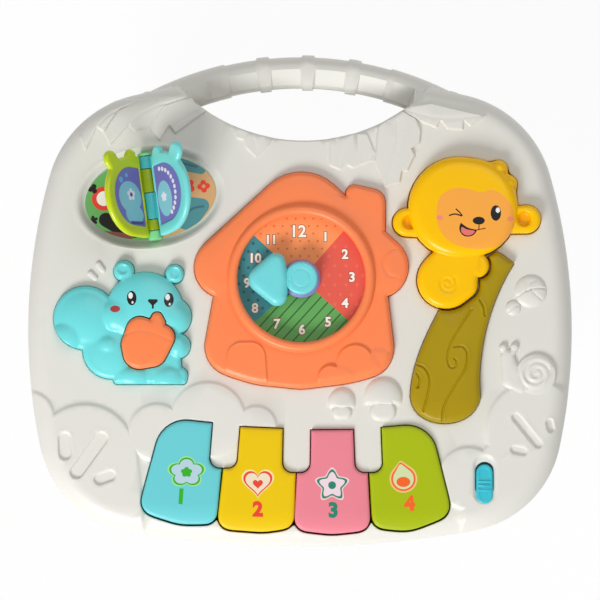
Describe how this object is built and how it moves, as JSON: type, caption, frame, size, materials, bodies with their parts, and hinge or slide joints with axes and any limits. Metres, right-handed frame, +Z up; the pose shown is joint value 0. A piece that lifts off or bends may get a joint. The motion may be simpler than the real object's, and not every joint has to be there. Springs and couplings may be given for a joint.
{
  "type": "musical activity table",
  "caption": "Child's musical activity table: white panel with carrying handle, piano keys, clock with a turning hand, page-turning book, press buttons and slide switch, on plug-in legs.",
  "frame": {"origin": "on the floor, under the middle of the panel's width and depth", "axes": "+X to the right of the person at the keys, +Y from the keys to the handle, +Z up"},
  "size_m": [0.324, 0.2946, 0.275],
  "materials": {
    "cover_white": "satin moulded white",
    "base_white": "fine moulded texture",
    "leg_white": "satin moulded white",
    "foot_rubber": "soft matt",
    "orange_plastic": "satin moulded",
    "dial_print": "four coloured sectors with plain numbers",
    "cyan_plastic": "satin moulded",
    "violet_plastic": "satin moulded",
    "lime_plastic": "satin moulded",
    "green_plastic": "satin moulded",
    "card_print": null,
    "page_print": null,
    "teal_plastic": "satin moulded",
    "yellow_plastic": "satin moulded",
    "olive_plastic": "satin moulded",
    "pink_plastic": "satin moulded",
    "green_key_plastic": "satin moulded",
    "switch_plastic": "satin moulded",
    "steel": "plated",
    "contact_rubber": "soft matt",
    "circuit_green": "solder mask",
    "dark_plastic": "plain",
    "cell_wrap": "plain wrap with no maker"
  },
  "bodies": {
    "panel": {"top_cover": "cover_white", "base_shell": "base_white", "leg_front_left": "leg_white", "leg_front_right": "leg_white", "leg_back_left": "leg_white", "leg_back_right": "leg_white", "foot_pads": "foot_rubber", "house_insert": "orange_plastic", "clock_dial": "dial_print", "book_card": "card_print", "hinge_bracket": "green_plastic", "hinge_pin": "steel", "squirrel_figure": "teal_plastic", "tree_trunk": "olive_plastic", "key_rod": "steel", "key_dome_1": "contact_rubber", "key_dome_2": "contact_rubber", "key_dome_3": "contact_rubber", "key_dome_4": "contact_rubber", "acorn_dome": "contact_rubber", "monkey_dome": "contact_rubber", "key_board": "circuit_green", "acorn_board": "circuit_green", "monkey_board": "circuit_green", "main_board": "circuit_green", "board_screws": "steel", "speaker": "dark_plastic", "speaker_ring": "base_white", "speaker_screws": "steel", "slide_switch": "dark_plastic", "battery_cells": "cell_wrap", "battery_contacts": "steel", "battery_door": "base_white", "door_screw": "steel", "case_screws": "steel"},
    "hand": {"clock_hand": "cyan_plastic", "hand_collar": "violet_plastic", "hand_washer": "steel", "hand_screw": "steel"},
    "left_page": {"page_left": "lime_plastic", "page_left_label": "page_print"},
    "right_page": {"page_right": "cyan_plastic", "page_right_label": "page_print"},
    "acorn": {"acorn_button": "orange_plastic"},
    "monkey": {"monkey_button": "yellow_plastic"},
    "key_cyan": {"key_1": "teal_plastic"},
    "key_yellow": {"key_2": "yellow_plastic"},
    "key_pink": {"key_3": "pink_plastic"},
    "key_green": {"key_4": "green_key_plastic"},
    "switch": {"switch_knob": "switch_plastic"}
  },
  "joints": [
    {"name": "key_cyan_press", "type": "hinge", "parent": "panel", "child": "key_cyan", "pos_m": [-0.068, -0.066, 0.23], "axis": [1, 0, 0], "range_deg": [0, 4], "stiffness_Nm_per_rad": 1, "springref_deg": -1.15, "deforming": ["key_dome_1"]},
    {"name": "key_yellow_press", "type": "hinge", "parent": "panel", "child": "key_yellow", "pos_m": [-0.0225, -0.066, 0.23], "axis": [1, 0, 0], "range_deg": [0, 4], "stiffness_Nm_per_rad": 1, "springref_deg": -1.15, "deforming": ["key_dome_2"]},
    {"name": "key_pink_press", "type": "hinge", "parent": "panel", "child": "key_pink", "pos_m": [0.019, -0.066, 0.23], "axis": [1, 0, 0], "range_deg": [0, 4], "stiffness_Nm_per_rad": 1, "springref_deg": -1.15, "deforming": ["key_dome_3"]},
    {"name": "key_green_press", "type": "hinge", "parent": "panel", "child": "key_green", "pos_m": [0.064, -0.066, 0.23], "axis": [1, 0, 0], "range_deg": [0, 4], "stiffness_Nm_per_rad": 1, "springref_deg": -1.15, "deforming": ["key_dome_4"]},
    {"name": "hand_turn", "type": "hinge", "parent": "panel", "child": "hand", "pos_m": [0.0008, 0.0126, 0.244], "axis": [0, 0, -1], "continuous": true},
    {"name": "left_page_turn", "type": "hinge", "parent": "panel", "child": "left_page", "pos_m": [-0.0889, 0.0611, 0.243], "axis": [-0.1357, 0.9907, 0], "range_deg": [-54, 32]},
    {"name": "right_page_turn", "type": "hinge", "parent": "panel", "child": "right_page", "pos_m": [-0.0889, 0.0611, 0.243], "axis": [0.1357, -0.9907, 0], "range_deg": [-54, 32]},
    {"name": "acorn_press", "type": "slide", "parent": "panel", "child": "acorn", "axis": [0, 0, -1], "range_m": [0, 0.003], "stiffness_N_per_m": 500, "springref_m": -0.001, "deforming": ["acorn_dome"]},
    {"name": "monkey_press", "type": "slide", "parent": "panel", "child": "monkey", "axis": [0, 0, -1], "range_m": [0, 0.003], "stiffness_N_per_m": 800, "springref_m": -0.001, "deforming": ["monkey_dome"]},
    {"name": "switch_slide", "type": "slide", "parent": "panel", "child": "switch", "axis": [0, 1, 0], "range_m": [0, 0.006]}
  ]
}
